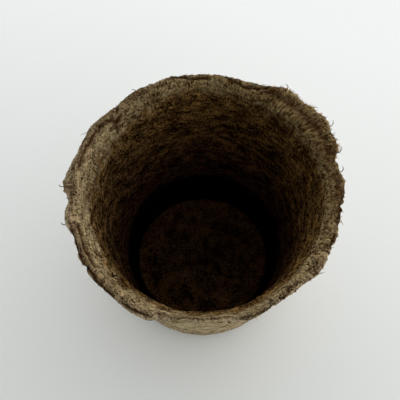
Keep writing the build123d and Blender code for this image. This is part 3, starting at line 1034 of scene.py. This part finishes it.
# Straight splinters
# Stiff pale splinters of wood fibre. They lie along the lip and stand off its edge, held by one end that was
# pressed into the felt.
splinter_azimuths = (311, 347, 149)
splinter_lengths = (7.0, 5.0, 5.5)
splinter_lean_angles = (68.0, -66.0, 66.0)
splinter_rise_angles = (3.0, 5.0, 6.0)
splinter_width = 0.24
splinters = []
for azimuth, length, lean, rise in zip(
    splinter_azimuths, splinter_lengths, splinter_lean_angles, splinter_rise_angles
):
    outward = Vector((cos(radians(azimuth)), sin(radians(azimuth)), 0.0))
    sideways = Vector((-outward.y, outward.x, 0.0))
    root = outward * (around(edge_reach, azimuth) - 1.3)
    root.z = root_height + around(crest_rise, azimuth)
    direction = outward * cos(radians(lean)) + sideways * sin(radians(lean))
    direction = direction * cos(radians(rise)) + Vector((0, 0, sin(radians(rise))))
    points = [root + direction * length * share for share in (0.0, 0.25, 0.5, 0.75, 1.0)]
    splinters.append((points, splinter_width))
splinter_piece = finish_piece(
    "pale_splinters",
    tubes("pale_splinters", splinters),
    fibre_material("pale_wood_splinter", "6c5a3b", "a8986f"),
)
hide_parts("straight_splinters")

# Table top
# A plain pale matt surface under the pot, a little darker towards the left and the front as painted shade.
bpy.ops.mesh.primitive_plane_add(size=3.0, location=(0, 0, 0))
table = bpy.context.object
table.name = "pale_table"
table_material = bpy.data.materials.new("matt_white_board")
table_material.use_nodes = True
table_tree = table_material.node_tree
table_shader = table_tree.nodes["Principled BSDF"]
table_place = add_node(table_tree, "ShaderNodeTexCoord").outputs["Object"]
table_axes = add_node(table_tree, "ShaderNodeSeparateXYZ", {"Vector": table_place}).outputs
painted_shade_slope = add_node(
    table_tree, "ShaderNodeMath", {0: table_axes["X"], 1: 0.45, 2: table_axes["Y"]}, operation="MULTIPLY_ADD"
).outputs[0]
table_tint_and_painted_shade = colour_ramp(
    table_tree,
    add_node(
        table_tree, "ShaderNodeMapRange", {"Value": painted_shade_slope, "From Min": -0.12, "From Max": 0.16}
    ).outputs["Result"],
    ((0.0, linear("d8dbd9")), (0.5, linear("e6e9e8")), (1.0, linear("f2f4f3"))),
).outputs["Color"]
table_tree.links.new(table_tint_and_painted_shade, table_shader.inputs["Base Color"])
table_shader.inputs["Roughness"].default_value = 0.9
table_shader.inputs["Specular IOR Level"].default_value = 0.1
table.data.materials.append(table_material)

# Studio light
# Soft light from all round, mostly from low down and from the right, with little from straight overhead.
world = bpy.data.worlds.new("soft_studio")
bpy.context.scene.world = world
world.use_nodes = True
sky_tree = world.node_tree
sky = add_node(sky_tree, "ShaderNodeTexCoord").outputs["Generated"]
sky_axes = add_node(sky_tree, "ShaderNodeSeparateXYZ", {"Vector": sky}).outputs
sky_strength = 6.3
sky_levels = (
    (0.0, 1.0), (0.10, 0.72), (0.20, 0.50), (0.35, 0.31), (0.55, 0.16), (0.80, 0.07), (1.0, 0.05),
)
glow = colour_ramp(
    sky_tree, sky_axes["Z"], [(rise, (level, level, level, 1.0)) for rise, level in sky_levels]
).outputs["Color"]
bright_side = radians(48)
towards = add_node(
    sky_tree,
    "ShaderNodeVectorMath",
    {0: sky, 1: (cos(bright_side), sin(bright_side), 0.0)},
    operation="DOT_PRODUCT",
).outputs["Value"]
bright_share = add_node(
    sky_tree, "ShaderNodeMath", {0: towards, 1: 0.75, 2: 1.0}, operation="MULTIPLY_ADD"
).outputs[0]
side_glow = add_node(
    sky_tree, "ShaderNodeVectorMath", {0: glow, "Scale": bright_share}, operation="SCALE"
).outputs["Vector"]
lit = add_node(sky_tree, "ShaderNodeBackground", {"Color": side_glow, "Strength": sky_strength}).outputs[0]
seen = add_node(sky_tree, "ShaderNodeBackground", {"Color": linear("eef0ef"), "Strength": 1.0}).outputs[0]
light_path = add_node(sky_tree, "ShaderNodeLightPath").outputs
shown = add_node(
    sky_tree, "ShaderNodeMixShader", {0: light_path["Is Camera Ray"], 1: lit, 2: seen}
).outputs[0]
sky_tree.links.new(shown, sky_tree.nodes["World Output"].inputs["Surface"])

# Camera
# Close above the near side of the pot and looking down into it, as the photograph does.
camera_place = Vector((0.0, -65.7, 178.33)) * mm
camera_aim = Vector((-0.68, -6.18, 65.0)) * mm
camera_roll = radians(0.58)
camera_data = bpy.data.cameras.new("camera")
camera_data.lens = 40.5
camera_data.sensor_width = 36.0
camera = bpy.data.objects.new("camera", camera_data)
bpy.context.scene.collection.objects.link(camera)
view_line = (camera_aim - camera_place).normalized()
camera_turn = Quaternion(view_line, camera_roll) @ view_line.to_track_quat("-Z", "Y")
camera.matrix_world = Matrix.Translation(camera_place) @ camera_turn.to_matrix().to_4x4()
bpy.context.scene.camera = camera
bpy.context.scene.view_settings.view_transform = "Standard"
